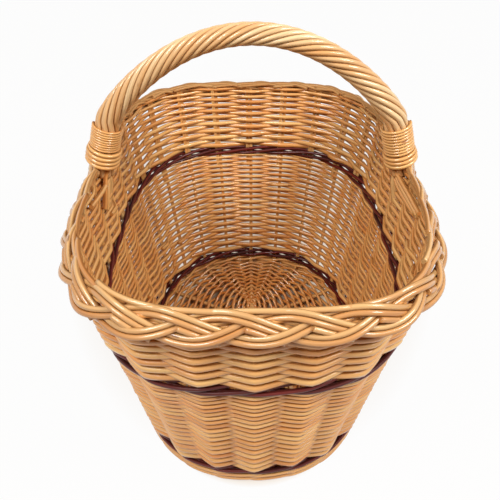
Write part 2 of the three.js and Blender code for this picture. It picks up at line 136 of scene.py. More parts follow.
def rods(name, paths, over, radius, sides, closed=False, tone=None, spread=1):
    """Rods as one mesh: a circle of the given radius, or an oval, carried along each path.

    A point of the mesh is its path's point, plus the radius times the cosine of the angle round the rod
    towards over, plus the radius times spread times its sine sideways. paths is an array (rod, step, xyz).
    over, radius and spread, how many times wider the rod is than it is thick, are given for each of its
    points, or once for all the rods or steps that share a value, and tone is one number a rod.
    Three attributes go with the mesh: rod_tone is one random number a rod, rod_place is a point's place
    in its own straightened rod, with the length along the rod as its third number, and rod_flank is the
    sine squared, 0 where the rod faces over or away from it and 1 where the next rod lies against it.
    """
    count, steps = paths.shape[:2]
    if closed:
        ahead = unit(np.roll(paths, -1, axis=1) - np.roll(paths, 1, axis=1))
    else:
        ahead = unit(np.gradient(paths, axis=1))
    side = unit(np.cross(ahead, over))
    up = np.cross(side, ahead)
    angle = np.arange(sides) / sides * 2 * math.pi
    radius = np.broadcast_to(radius, (count, steps))
    spread = np.broadcast_to(spread, (count, steps))[:, :, None, None]
    ring = np.cos(angle)[:, None] * up[:, :, None] + spread * np.sin(angle)[:, None] * side[:, :, None]
    points = paths[:, :, None] + ring * radius[:, :, None, None]

    first = np.arange(count)[:, None, None] * steps * sides
    step = np.arange(steps if closed else steps - 1)[None, :, None]
    here = first + step * sides
    there = first + (step + 1) % steps * sides
    k = np.arange(sides)[None, None, :]
    other = (k + 1) % sides
    quads = np.stack([here + k, here + other, there + other, there + k], axis=-1).reshape(-1, 4)
    faces = quads.tolist()
    ends = 0
    if not closed:
        ring_order = np.arange(sides)
        starts = (first[:, 0] + ring_order[::-1]).tolist()
        finishes = (first[:, 0] + (steps - 1) * sides + ring_order).tolist()
        faces += starts + finishes
        ends = 2 * count

    mesh = bpy.data.meshes.new(name)
    mesh.from_pydata(points.reshape(-1, 3), [], faces)
    smooth = np.ones(len(faces), bool)
    smooth[len(faces) - ends:] = False
    mesh.polygons.foreach_set("use_smooth", smooth)

    along = summed(np.linalg.norm(np.diff(paths, axis=1), axis=-1))
    along = along + draws.uniform(0, LONGEST_OFFSET, (count, 1))
    place = np.empty(points.shape)
    place[..., 0] = np.cos(angle) * radius[..., None]
    place[..., 1] = np.sin(angle) * radius[..., None]
    place[..., 2] = along[..., None]
    if tone is None:
        tone = draws.uniform(0, 1, count)
    tones = np.broadcast_to(tone[:, None, None], points.shape[:3])
    mesh.attributes.new("rod_tone", "FLOAT", "POINT").data.foreach_set("value", tones.ravel())
    mesh.attributes.new("rod_place", "FLOAT_VECTOR", "POINT").data.foreach_set("vector", place.ravel())
    flanks = np.broadcast_to(np.sin(angle) ** 2, points.shape[:3])
    mesh.attributes.new("rod_flank", "FLOAT", "POINT").data.foreach_set("value", flanks.ravel())
    mesh.validate()

    piece = bpy.data.objects.new(name, mesh)
    bpy.context.scene.collection.objects.link(piece)
    return piece


def rounded(line, rounds):
    """Corner cutting: each round sets two points on every stretch, at a quarter and three quarters."""
    for _ in range(rounds):
        near = line[:, :-1] * 0.75 + line[:, 1:] * 0.25
        far = line[:, :-1] * 0.25 + line[:, 1:] * 0.75
        middle = np.stack([near, far], axis=2).reshape(len(line), -1, line.shape[-1])
        line = np.concatenate([line[:, :1], middle, line[:, -1:]], axis=1)
    return line


STAKE_LEVELS = 16


def stake_line(shift, reach, start):
    """Centre lines up the wall and into the border, moved by a share of a stake's spacing and by a reach."""
    stake = np.arange(STAKE_COUNT)[:, None] + shift
    return on_wall(stake, np.linspace(start, STAKE_TOP, STAKE_LEVELS), reach)


def willow_colour(red, green, blue):
    """A colour written as it looks, 0 to 255, as the shader's linear value."""
    value = np.array([red, green, blue]) / 255
    linear = np.where(value <= 0.04045, value / 12.92, ((value + 0.055) / 1.055) ** 2.4)
    return (*linear, 1)


def linked(tree, kind, **settings):
    """A new node with its settings: its own properties, and its inputs by name or as i and a number.

    An input whose value is a socket is linked to it, and any other value is written there.
    """
    node = tree.nodes.new(kind)
    for name, value in settings.items():
        if hasattr(node, name):
            setattr(node, name, value)
            continue
        key = int(name[1:]) if name[0] == "i" and name[1:].isdigit() else name.replace("_", " ")
        if isinstance(value, bpy.types.NodeSocket):
            tree.links.new(value, node.inputs[key])
        else:
            node.inputs[key].default_value = value
    return node


def mapped(tree, value, start, end, first, last):
    """A value carried over to another range: first up to start, last from end on, and even in between."""
    node = linked(tree, "ShaderNodeMapRange", Value=value,
                  From_Min=start, From_Max=end, To_Min=first, To_Max=last)
    return node.outputs[0]


GRAIN_FINENESS = (900, 14)
CLOUD_FINENESS = (60, 9)
SPECK_FINENESS = (110, 26)
CLOUD_WARMTH = 1.5
CLOUD_COOLEST = -0.55
TONE_WARMTH = 0.6
FLANK_ROUGHNESS = 0.5


def rod_look():
    """Node group for a varnished rod: its colour, with painted shade in the grooves between rods, roughness,
    varnish and height from three attributes.
    """
    group = bpy.data.node_groups.new("rod_look", "ShaderNodeTree")
    for name in ("Pale", "Warm", "Stain_and_shade"):
        group.interface.new_socket(name, in_out="INPUT", socket_type="NodeSocketColor")
    group.interface.new_socket("Color", in_out="OUTPUT", socket_type="NodeSocketColor")
    group.interface.new_socket("Roughness", in_out="OUTPUT", socket_type="NodeSocketFloat")
    group.interface.new_socket("Varnish", in_out="OUTPUT", socket_type="NodeSocketFloat")
    group.interface.new_socket("Height", in_out="OUTPUT", socket_type="NodeSocketFloat")
    given = group.nodes.new("NodeGroupInput")
    tone = linked(group, "ShaderNodeAttribute", attribute_name="rod_tone")
    place = linked(group, "ShaderNodeAttribute", attribute_name="rod_place")
    flank = linked(group, "ShaderNodeAttribute", attribute_name="rod_flank")

    def stretched(across, along):
        """The place in the straightened rod, with a pattern's fineness across and along the rod."""
        node = linked(group, "ShaderNodeVectorMath", operation="MULTIPLY",
                      i0=place.outputs["Vector"], i1=(across, across, along))
        return node.outputs["Vector"]

    grain = linked(group, "ShaderNodeTexNoise", Vector=stretched(*GRAIN_FINENESS), Scale=1.0, Detail=3.0)
    cloud = linked(group, "ShaderNodeTexNoise", Vector=stretched(*CLOUD_FINENESS), Scale=1.0, Detail=2.0)
    speck = linked(group, "ShaderNodeTexVoronoi", Vector=stretched(*SPECK_FINENESS), Scale=1.0)

    mixed = linked(group, "ShaderNodeMath", operation="MULTIPLY_ADD",
                   i0=cloud.outputs["Fac"], i1=CLOUD_WARMTH, i2=CLOUD_COOLEST)
    warmth = linked(group, "ShaderNodeMath", operation="MULTIPLY_ADD", use_clamp=True,
                    i0=tone.outputs["Fac"], i1=TONE_WARMTH, i2=mixed.outputs[0])
    body = linked(group, "ShaderNodeMix", data_type="RGBA", Factor=warmth.outputs[0],
                  i6=given.outputs["Pale"], i7=given.outputs["Warm"])

    streak = mapped(group, grain.outputs["Fac"], start=0.5, end=0.75, first=0, last=0.32)
    dot = mapped(group, speck.outputs["Distance"], start=0.07, end=0.11, first=0.8, last=0)
    # Painted shade: the colour runs towards the stain colour on a rod's flanks, in the grooves where the
    # next rod lies against it.
    painted_groove_shade = mapped(group, flank.outputs["Fac"], start=0.6, end=1, first=0, last=0.68)
    mark = linked(group, "ShaderNodeMath", operation="MAXIMUM", i0=streak, i1=dot)
    stain_and_shade = linked(group, "ShaderNodeMath", operation="MAXIMUM", i0=mark.outputs[0], i1=painted_groove_shade)
    marked = linked(group, "ShaderNodeMix", data_type="RGBA", Factor=stain_and_shade.outputs[0],
                    i6=body.outputs[2], i7=given.outputs["Stain_and_shade"])

    satin = mapped(group, cloud.outputs["Fac"], start=0, end=1, first=0.3, last=0.44)
    dull = mapped(group, flank.outputs["Fac"], start=0.45, end=0.8, first=0, last=1)
    rough = linked(group, "ShaderNodeMath", operation="MULTIPLY_ADD", i0=dull, i1=FLANK_ROUGHNESS, i2=satin)
    varnish = linked(group, "ShaderNodeMath", operation="SUBTRACT", i0=1.0, i1=dull)
    height = linked(group, "ShaderNodeMath", operation="SUBTRACT", i0=grain.outputs["Fac"], i1=dot)

    result = group.nodes.new("NodeGroupOutput")
    group.links.new(marked.outputs[2], result.inputs["Color"])
    group.links.new(rough.outputs[0], result.inputs["Roughness"])
    group.links.new(varnish.outputs[0], result.inputs["Varnish"])
    group.links.new(height.outputs[0], result.inputs["Height"])
    return group


ROD_LOOK = rod_look()


def varnished_rod(name, pale, warm, stain_and_shade, coat):
    """A glossy willow material: the rod group on a Principled BSDF, with a clear coat for the varnish.

    The third colour is that of the dark streaks and specks in the grain, and also of the painted shade in
    the grooves between rods. The coat thins out to nothing on a rod's flanks, where the varnish doesn't
    shine between the rods.
    """
    material = bpy.data.materials.new(name)
    material.use_nodes = True
    tree = material.node_tree
    shader = tree.nodes["Principled BSDF"]
    look = tree.nodes.new("ShaderNodeGroup")
    look.node_tree = ROD_LOOK
    look.inputs["Pale"].default_value = pale
    look.inputs["Warm"].default_value = warm
    look.inputs["Stain_and_shade"].default_value = stain_and_shade
    bump = linked(tree, "ShaderNodeBump", Height=look.outputs["Height"], Strength=0.25, Distance=0.0002)
    tree.links.new(look.outputs["Color"], shader.inputs["Base Color"])
    tree.links.new(look.outputs["Roughness"], shader.inputs["Roughness"])
    tree.links.new(bump.outputs["Normal"], shader.inputs["Normal"])
    varnish = linked(tree, "ShaderNodeMath", operation="MULTIPLY", i0=look.outputs["Varnish"], i1=coat)
    tree.links.new(varnish.outputs[0], shader.inputs["Coat Weight"])
    shader.inputs["Specular IOR Level"].default_value = 0.2
    shader.inputs["Coat Roughness"].default_value = 0.1
    shader.inputs["Coat IOR"].default_value = 1.5
    return material


PEELED = varnished_rod(
    "peeled_willow", willow_colour(238, 198, 134), willow_colour(220, 156, 84),
    willow_colour(150, 84, 34), coat=0.7,
)

STAKE_TAPER = (1.06, 0.86)

stems, stem_outs = stake_line(0, 0, LEG_HEIGHT)
inner, _ = on_wall(np.arange(STAKE_COUNT)[:, None], LEG_HEIGHT, -LEG_LENGTH)
stake_paths = rounded(np.concatenate([inner, stems], axis=1), 2)
stake_over = np.cross(UPWARDS, unit(stem_outs[:, :1]))
taper = np.linspace(*STAKE_TAPER, stake_paths.shape[1]) * STAKE_RADIUS
stakes = rods("stakes", stake_paths, stake_over, taper, STAKE_SIDES)
stakes.data.materials.append(PEELED)
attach(stakes, "root")
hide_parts(*[f"stake_pair_{i + 1:02d}" for i in range(STAKE_COUNT)])

# A bye-stake lies against its stake, straight beside it or turned a little inwards, in radians.
BYE_STAKE_TURN = (-0.5, 0.15)
bye_turn = draws.uniform(*BYE_STAKE_TURN, (STAKE_COUNT, 1))
bye_distance = STAKE_RADIUS + BYE_STAKE_RADIUS
bye_shift = bye_distance * np.cos(bye_turn) * STAKE_COUNT / UPPER_WALL_LENGTH
bye_paths, bye_outs = stake_line(bye_shift, bye_distance * np.sin(bye_turn), BYE_STAKE_START)
bye_paths = rounded(bye_paths, 1)
bye_over = np.cross(UPWARDS, unit(bye_outs[:, :1]))
bye_stakes = rods("bye_stakes", bye_paths, bye_over, BYE_STAKE_RADIUS, STAKE_SIDES)
bye_stakes.data.materials.append(PEELED)
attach(bye_stakes, "root")

# Base sticks: split willow sticks that the oval base is built on. Seven cross sticks run through the
# middle, the three long sticks are threaded through them, and their ends are spread into a fan.

BASE_MIDDLE = 0.0087
BASE_EDGE_REACH = -0.0062
BASE_HEART = np.array([0.0062, 0.078])
STICK_RADIUS = 0.0027
STICK_END = 0.97
STICK_STEPS = 9
CROSS_STAKES = np.arange(4, 11)
END_STAKES = np.array([-1, 0, 1])


def on_base(stake, share):
    """A point of the base: share 0 lies on the small oval heart in the middle, share 1 at the wall."""
    stake, share = np.broadcast_arrays(np.asarray(stake, float), share)
    edge, _ = on_wall(stake, BASE_MIDDLE, BASE_EDGE_REACH)
    angle = (stake / STAKE_COUNT - 0.25) * 2 * math.pi
    heart = np.stack([np.cos(angle) * BASE_HEART[0], np.sin(angle) * BASE_HEART[1]], axis=-1)
    flat = heart + (edge[..., :2] - heart) * share[..., None]
    return np.concatenate([flat, np.full(share.shape, BASE_MIDDLE)[..., None]], axis=-1)


def through_base(near, far):
    """A stick from one stake's foot to another's, through the heart."""
    share = np.linspace(STICK_END, 0, STICK_STEPS)
    return np.concatenate([on_base(near, share), on_base(far, share[::-1])])


stick_paths = [through_base(s, STAKE_COUNT - s) for s in CROSS_STAKES]
stick_paths += [through_base(s, STAKE_COUNT / 2 - s) for s in END_STAKES]
stick_paths = rounded(np.array(stick_paths), 2)
sticks = rods("base_sticks", stick_paths, UPWARDS, STICK_RADIUS, STAKE_SIDES)
sticks.data.materials.append(PEELED)
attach(sticks, "root")
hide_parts(*[f"base_cross_stick_{i}" for i in range(1, 8)])
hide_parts(*[f"base_long_stick_{i}" for i in range(1, 4)])

# Base weave: thin buff rods woven over one stick and under the next, from the heart out to the wall.
# They are packed close, wander a little and differ in tone, because each row is a rod of its own. Their
# tones lean warm and dark, a painted shade for the base deep in the basket.

BASE_ROWS = 24
FIRST_ROW = 0.7
BASE_WAVES = (2, 5, 9)
BASE_WANDER = 0.1
SHADED_BASE_TONES = (0.6, 1.3)
BASE_ROD_RADIUS = 0.0020
BASE_STEPS = 10
BASE_SIDES = 8
KINK = 0.985


def kinked_wave(stake):
    """A wave between 1 and -1, one stake to the next, straight in between and round at its turns.

    It is the arc sine of a cosine that is scaled to KINK, divided by the arc sine of KINK.
    """
    return np.arcsin(KINK * np.cos(math.pi * stake)) / math.asin(KINK)


BUFF = varnished_rod(
    "buff_willow", willow_colour(238, 190, 118), willow_colour(216, 140, 66),
    willow_colour(138, 66, 18), coat=1.0,
)

base_stake = np.arange(STAKE_COUNT * BASE_STEPS) / BASE_STEPS
base_share = (np.arange(BASE_ROWS) + FIRST_ROW) / BASE_ROWS
base_row = np.arange(BASE_ROWS)
base_wobble = np.zeros((BASE_ROWS, len(base_stake)))
for waves in BASE_WAVES:
    base_offset = draws.uniform(0, 2 * math.pi, BASE_ROWS)[:, None]
    base_wobble += np.sin(base_stake[None, :] * waves / STAKE_COUNT * 2 * math.pi + base_offset)
base_paths = on_base(base_stake[None, :], base_share[:, None] + base_wobble * BASE_WANDER / BASE_ROWS)
swing = STICK_RADIUS + BASE_ROD_RADIUS
base_paths[..., 2] += swing * kinked_wave(base_stake[None, :] + base_row[:, None])
# Painted shade: the tones are drawn from the warm, darker end, for the base lying in shade inside the
# basket.
shaded_base_tone = draws.uniform(*SHADED_BASE_TONES, BASE_ROWS)
base_weave = rods("base_weave_rods", base_paths, UPWARDS, BASE_ROD_RADIUS, BASE_SIDES,
                  closed=True, tone=shaded_base_tone)
base_weave.data.materials.append(BUFF)
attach(base_weave, "root")
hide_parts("base_weave")

# Foot wale: two rounds of thick buff rods woven in threes, each in front of two stakes and behind one.
# It closes the kink of the stakes and is what the basket stands on.

WALE_STEPS = 12
WALE_SIDES = 10
FOOT_ROD_RADIUS = 0.0022
FOOT_CLIMB = 0.0023
FOOT_ROUNDS = (0.0047, 0.0130)
LEAN_STEP = 0.004
SOFTENING = np.array([1, 2, 3, 2, 1]) / 9


def softened(values):
    """Closed runs of values, each blended with its two neighbours on either side."""
    return sum(weight * np.roll(values, k - 2, axis=1) for k, weight in enumerate(SOFTENING))


def wall_lean(stake, height):
    """How far the wall moves outwards for each step up, there."""
    above, out = on_wall(stake, height + LEAN_STEP, 0)
    below, _ = on_wall(stake, height - LEAN_STEP, 0)
    return np.sum((above - below) * out, axis=-1) / (2 * LEAN_STEP)


def wale(name, middles, front, behind, radius, climb, material, node):
    """Rounds of waling: each rod lies in front of some stakes, then behind some, one stake on from the last.

    Its reach is a square wave with slanting flanks. Its height climbs from -1 to 1 while it is in front
    and falls back while it is behind, both as 3s^2 - 2s^3. Where the count of stakes doesn't divide by
    the count of rods, a rod runs into the next one's place, so that one path goes round several times.
    The reach is square to the leaning wall, so it also lowers the rod, by the reach times the wall's lean.
    """
    period = front + behind
    starts = math.gcd(period, STAKE_COUNT)
    stake = np.arange(period // starts * STAKE_COUNT * WALE_STEPS) / WALE_STEPS
    phase = np.mod(stake[None, :] + np.arange(starts)[:, None] - 0.5, period)
    outside = phase < front
    to_edge = np.minimum(np.minimum(phase, period - phase), np.abs(phase - front))
    side = np.where(outside, 1, -1)
    reach = side * np.minimum(to_edge * 2, 1)
    share = np.where(outside, phase / front, (phase - front) / behind)
    height = side * (2 * share**2 * (3 - 2 * share) - 1) * climb
    heights = np.concatenate([middle + softened(height) for middle in middles])
    reaches = np.concatenate([softened(reach) * (STAKE_RADIUS + radius)] * len(middles))
    heights = heights - reaches * wall_lean(stake[None, :], heights)
    path, out = on_wall(stake[None, :], heights, reaches)
    piece = rods(name, path, out, radius, WALE_SIDES, closed=True)
    piece.data.materials.append(material)
    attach(piece, "root")
    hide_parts(node)


wale("foot_wale_rods", FOOT_ROUNDS, front=2, behind=1, radius=FOOT_ROD_RADIUS, climb=FOOT_CLIMB,
     material=BUFF, node="foot_wale")

# Dark wales: one round each of four thinner rods dyed burgundy, in front of two stakes and behind two,
# so that the stakes show as pale dots between them.

DARK_ROD_RADIUS = 0.0021
DARK_CLIMB = 0.0041
LOWER_DARK_MIDDLE = 0.0227
UPPER_DARK_MIDDLE = 0.1805

DYED = varnished_rod(
    "dark_willow", willow_colour(112, 29, 18), willow_colour(62, 16, 9),
    willow_colour(20, 8, 5), coat=0.35,
)
for dark_name, dark_middle, dark_node in (
    ("lower_dark_rods", LOWER_DARK_MIDDLE, "lower_dark_wale"),
    ("upper_dark_rods", UPPER_DARK_MIDDLE, "upper_dark_wale"),
):
    wale(dark_name, [dark_middle], front=2, behind=2, radius=DARK_ROD_RADIUS, climb=DARK_CLIMB,
         material=DYED, node=dark_node)

# Siding: buff rods woven singly, in front of one stake and behind the next, and the other way round in
# the row above. The rods are thickest at the bottom of each siding, and each ends inside the basket.

SIDING_STEPS = 10
SIDING_SIDES = 8
OVERLAP = 0.3
ROD_SHARE = 0.5
THICKEST_ROD = 0.0026
FLAT_AT_CROSSING = 0.545
FULL_AT_STAKE = 0.64
LOOSE_OUTSIDE = 1.15
LOOSE_INSIDE = 0.9
ROD_TAPER = (1.04, 0.92)
ROD_VARIETY = (0.94, 1.06)
SIDING_WAVES = (3, 7, 11)
SIDING_WANDER = 0.035
END_DIVE = 2.1
END_TAPER = 0.85
BLUNT_ENDS = 0.5


def siding(name, bottom, top, rows, first_pitch, last_pitch, node):
    """Rows of rods that swing in front of one stake and behind the next.

    The pitch shrinks by the same factor from each row to the next. A rod's reach out of the wall is the
    kinked wave times the stake's radius plus the rod's, square to the leaning wall as in wale. Its height
    wanders by three sines, and the end that overlaps its own start dives inside the basket. Half its width
    is FLAT_AT_CROSSING of the pitch where it crosses the wall, and FULL_AT_STAKE of it at a stake.
    """
    pitch = np.geomspace(first_pitch, last_pitch, rows)
    pitch *= (top - bottom) / pitch.sum()
    height = bottom + np.cumsum(pitch) - pitch / 2
    row = np.arange(rows)
    start = draws.integers(0, STAKE_COUNT // 2, rows) * 2 + 1 - row % 2
    steps = int((STAKE_COUNT + 2 * OVERLAP) * SIDING_STEPS) + 1
    local = np.linspace(-OVERLAP, STAKE_COUNT + OVERLAP, steps)
    stake = start[:, None] + local[None, :]
    thickness = pitch[:, None] * ROD_SHARE * np.linspace(*ROD_TAPER, steps)[None, :]
    thickness = np.minimum(thickness * draws.uniform(*ROD_VARIETY, (rows, 1)), THICKEST_ROD)
    wobble = np.zeros_like(stake)
    for waves in SIDING_WAVES:
        offset = draws.uniform(0, 2 * math.pi, rows)[:, None]
        wobble += np.sin(stake * waves / STAKE_COUNT * 2 * math.pi + offset)
    heights = height[:, None] + wobble * pitch[:, None] * SIDING_WANDER
    lift = np.clip((local - (STAKE_COUNT - OVERLAP)) / OVERLAP, 0, 1)[None, :]
    wave = kinked_wave(stake + row[:, None])
    fullness = FLAT_AT_CROSSING + (FULL_AT_STAKE - FLAT_AT_CROSSING) * np.abs(wave)
    spread = fullness * pitch[:, None] / thickness
    reach = wave * (STAKE_RADIUS + thickness) * np.where(wave > 0, LOOSE_OUTSIDE, LOOSE_INSIDE)
    reach = reach - lift * END_DIVE * thickness
    path, out = on_wall(stake, heights - reach * wall_lean(stake, heights), reach)
    tip = np.where(draws.uniform(size=rows)[:, None] < BLUNT_ENDS, 1, 1 - END_TAPER * lift**2)
    piece = rods(name, path, out, thickness * tip, SIDING_SIDES, spread=spread)
    piece.data.materials.append(BUFF)
    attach(piece, "root")
    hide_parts(node)


siding("lower_siding_rods", bottom=0.0283, top=0.1752, rows=36, first_pitch=0.0057, last_pitch=0.00295,
       node="lower_siding")
siding("upper_siding_rods", bottom=0.1860, top=0.2675, rows=19, first_pitch=0.0060, last_pitch=0.0036,
       node="upper_siding")

# Plaited border: the stakes' ends laid down in a wide plait of three strands, two rods in each, with a
# third rod laid in where a strand runs from the inner edge to the outer one.

PLAIT_ROD_RADIUS = 0.00235
PLAIT_STEPS = 14
PLAIT_SIDES = 12
PLAIT_MIDDLE = np.array([0.0058, 0.2626])
PLAIT_HALF_WIDTH = 0.0098
PLAIT_LIFT = 0.0027
PLAIT_SLOPE = math.radians(58)
PAIR_PLACES = ((0.52,), (-0.52,))
LAID_IN_PLACES = ((-1.54,),)
LAID_IN_RUN = (1.9, 2.5)
LAID_IN_STEPS = 16


def on_plait(stake, across, lift):
    """A point of the plait: across runs down its slanting face, from -1 inside to 1 outside.

    lift is the distance out of that face.
    """
    down = across * PLAIT_HALF_WIDTH
    reach = PLAIT_MIDDLE[0] + down * math.cos(PLAIT_SLOPE) + lift * math.sin(PLAIT_SLOPE)
    height = PLAIT_MIDDLE[1] - down * math.sin(PLAIT_SLOPE) + lift * math.cos(PLAIT_SLOPE)
    point, out = on_wall(stake, WALL_TOP, reach)
    point[..., 2] = height
    face = out * math.sin(PLAIT_SLOPE)
    face[..., 2] = math.cos(PLAIT_SLOPE)
    return point, face


def strand_place(stake):
    """Across is a cosine, once in three stakes, and lift goes up and down twice in that time."""
    phase = stake / 3 * 2 * math.pi
    return np.cos(phase), PLAIT_LIFT * np.sin(2 * phase)


def strand_rods(name, stake, places, closed):
    """Rods along the strand, each set sideways in the plait's face by its place, in rod widths."""
    across, lift = strand_place(stake)
    point, face = on_plait(stake, across, lift)
    ahead = unit(np.gradient(point, axis=-2))
    point = point + np.cross(face, ahead) * np.array(places)[..., None] * 2 * PLAIT_ROD_RADIUS
    return rods(name, point, face, PLAIT_ROD_RADIUS, PLAIT_SIDES, closed)


strand_stake = np.arange(3 * STAKE_COUNT * PLAIT_STEPS) / PLAIT_STEPS
pair_stake = np.stack([strand_stake, strand_stake])
plait_pairs = strand_rods("plait_pairs", pair_stake, PAIR_PLACES, closed=True)
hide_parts("plaited_border")

# The third rod of each down-run starts where the crossing pair dives, and ends under the next pair.
run = 3.0 * np.arange(STAKE_COUNT)[:, None]
laid_in_stake = run + np.linspace(*LAID_IN_RUN, LAID_IN_STEPS)[None, :]
laid_in = strand_rods("plait_laid_in", laid_in_stake, LAID_IN_PLACES, closed=False)

# A butt end lies along the inner edge and runs in under the strands beside it. Most of them start tucked
# in too: the dip takes them down there. A few, at both ends of the front, start at the edge, where they
# were cut off, and point inwards.
ENDS_SHOWN = (3, 4, 22, 24, 25)
BUTT_STEPS = 24
BUTT_LENGTH = 2.0
BUTT_START = 0.2
BUTT_START_VARIETY = 0.25
BUTT_EDGE = -1.38
BUTT_DRIFT = 0.26
DIP_SHARPNESS = 6
DIP_ACROSS = 0.3
DIP_DEPTH = 0.0055
POINT_SHARPNESS = 1.5
POINT_ACROSS = 0.2
POINT_DEPTH = 0.0030
BUTT_HEIGHT = 0.0010
BUTT_SINK = 0.0050
butt_local = np.linspace(0, 1, BUTT_STEPS)[None, :]
butt_start = BUTT_START + draws.uniform(-BUTT_START_VARIETY, BUTT_START_VARIETY, (STAKE_COUNT, 1))
butt_stake = run + butt_start + butt_local * BUTT_LENGTH
butt_shown = np.isin(run % STAKE_COUNT, ENDS_SHOWN)
butt_dip = np.where(butt_shown, 0, (1 - butt_local) ** DIP_SHARPNESS)
butt_point = np.where(butt_shown, (1 - butt_local) ** POINT_SHARPNESS, 0)
butt_across = BUTT_EDGE + BUTT_DRIFT * butt_local + DIP_ACROSS * butt_dip - POINT_ACROSS * butt_point
butt_lift = BUTT_HEIGHT - BUTT_SINK * butt_local**2 - DIP_DEPTH * butt_dip - POINT_DEPTH * butt_point
butt_paths, butt_over = on_plait(butt_stake, butt_across, butt_lift)
plait_butts = rods("plait_butt_ends", butt_paths, butt_over, PLAIT_ROD_RADIUS, PLAIT_SIDES)

# The border's willow is a darker copy of the buff: painted shade, to dim the border, which the lamps light
# more strongly than the walls inside.
SHADED_BORDER_BUFF = varnished_rod(
    "shaded_border_willow", willow_colour(216, 172, 112), willow_colour(190, 126, 64),
    willow_colour(104, 50, 14), coat=1.0,
)
for piece in (plait_pairs, laid_in, plait_butts):
    piece.data.materials.append(SHADED_BORDER_BUFF)
    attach(piece, "root")

# Handle bow: one thick peeled rod bent over the basket. Its ends are pushed down into the wall on the
# inside, where they taper off between the rods of the siding.

HANDLE_RISE = 0.400
HANDLE_FOOT_HALF_SPAN = 0.1515
HANDLE_LEAN = math.radians(15.6)
HANDLE_SHOULDER = 0.008
HANDLE_CROWN_REACH = 0.0813
HANDLE_FOOT = 0.2758
LEG_TOP = 0.3193
BOW_RADIUS = 0.0044
BOW_END = 0.205
BOW_TIP = 0.6
BOW_SIDES = 16
LEG_STEPS = 20
CURVE_STEPS = 80
ARCH_STEPS = 60


def leg_point(height):
    """A foot of the handle: a straight leg that leans inwards from the border."""
    height = np.asarray(height, float)
    across = HANDLE_FOOT_HALF_SPAN - (height - HANDLE_FOOT) * math.tan(HANDLE_LEAN)
    return np.stack([across, height], axis=-1)


def handle_line(foot, steps):
    """The handle's centre line in X and Z, from the -X foot to the +X foot, at even steps.

    Each half is a straight leg and a Bezier curve from its shoulder to the crown.
    """
    shoulder = leg_point(LEG_TOP)
    rise = np.array([-math.sin(HANDLE_LEAN), math.cos(HANDLE_LEAN)]) * HANDLE_SHOULDER
    share = np.linspace(0, 1, CURVE_STEPS)[:, None]
    crown = (1 - share) ** 3 * shoulder + 3 * (1 - share) ** 2 * share * (shoulder + rise)
    crown = crown + 3 * (1 - share) * share**2 * np.array([HANDLE_CROWN_REACH, HANDLE_RISE])
    crown = crown + share**3 * np.array([0, HANDLE_RISE])
    leg = leg_point(np.linspace(foot, LEG_TOP, LEG_STEPS))[:-1]
    right = np.concatenate([leg, crown])
    left = right * np.array([-1, 1])
    line = np.concatenate([left, right[-2::-1]])
    length = summed(np.hypot(*np.diff(line, axis=0).T))
    even = np.linspace(0, length[-1], steps)
    return np.stack([np.interp(even, length, axis) for axis in line.T], axis=1), even


def tucked_leg():
    """The bow's end inside the wall: it starts clear of the weave and sinks into it on its way down."""
    height = np.array([BOW_END, 0.220, 0.238, 0.254])
    inwards = np.array([-0.0010, 0.0010, 0.0062, 0.0100])
    wall, _ = on_wall(STAKE_COUNT / 4, height, -inwards)
    return wall[:, [0, 2]]


tucked = tucked_leg()
arch, _ = handle_line(HANDLE_FOOT, ARCH_STEPS)
bow_flat = np.concatenate([tucked * [-1, 1], arch, tucked[::-1]])[None]
bow_flat = rounded(bow_flat, 1)
bow_path = np.insert(bow_flat, 1, 0, axis=2)
towards_back = np.array([0.0, 1, 0])
bow_end_share = np.clip((bow_path[..., 2] - BOW_END) / (HANDLE_FOOT - BOW_END), 0, 1)
bow_radius = BOW_RADIUS * (BOW_TIP + (1 - BOW_TIP) * bow_end_share)
bow = rods("handle_bow_rod", bow_path, towards_back, bow_radius, BOW_SIDES, tone=np.array([0.0]))
bow.data.materials.append(PEELED)
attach(bow, "root")
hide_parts("handle_bow")

# Roping: ten rods of a paler buff laid round the bow like a rope, steep over the crown and nearly straight
# at the feet, where they are thicker and run down into the border. The paler buff is a painted highlight:
# the same willow made lighter for the light on the handle.

ROPE_RODS = 10
ROPE_RADIUS_TOP = 0.0103
ROPE_RADIUS_FOOT = 0.0130
ROPE_ROD_TOP = 0.00238
ROPE_ROD_FOOT = 0.0031
ROPE_LAY_TOP = math.radians(23)
ROPE_LAY_FOOT = math.radians(7)
ROPE_LAY_GROWTH = 1.7
ROPE_SIDES = 14
ROPE_STEPS = 260
ROPE_START = 0.262

# Painted highlight: a lighter copy of the buff willow for the handle.
HIGHLIT_PALE_BUFF = varnished_rod(
    "highlit_pale_buff_willow", willow_colour(232, 200, 150), willow_colour(214, 156, 92),
    willow_colour(140, 76, 28), coat=1.0,
)
rope_line, rope_length = handle_line(ROPE_START, ROPE_STEPS)
rope_share = np.clip((rope_line[:, 1] - HANDLE_FOOT) / (HANDLE_RISE - HANDLE_FOOT), 0, 1)
rod_thickness = ROPE_ROD_FOOT + (ROPE_ROD_TOP - ROPE_ROD_FOOT) * rope_share
coil = ROPE_RADIUS_FOOT + (ROPE_RADIUS_TOP - ROPE_RADIUS_FOOT) * rope_share - rod_thickness
lay = ROPE_LAY_FOOT + (ROPE_LAY_TOP - ROPE_LAY_FOOT) * np.clip(rope_share * ROPE_LAY_GROWTH, 0, 1)
turning = summed(np.diff(rope_length) * (np.tan(lay) / coil)[1:])
rope_angle = np.arange(ROPE_RODS)[:, None] / ROPE_RODS * 2 * math.pi - turning[None, :]
rope_ahead = unit(np.gradient(rope_line, axis=0))
rope_out = np.stack([-rope_ahead[:, 1], np.zeros(ROPE_STEPS), rope_ahead[:, 0]], axis=1)
towards_front = np.array([0.0, -1, 0])
rope_over = np.cos(rope_angle)[..., None] * rope_out + np.sin(rope_angle)[..., None] * towards_front
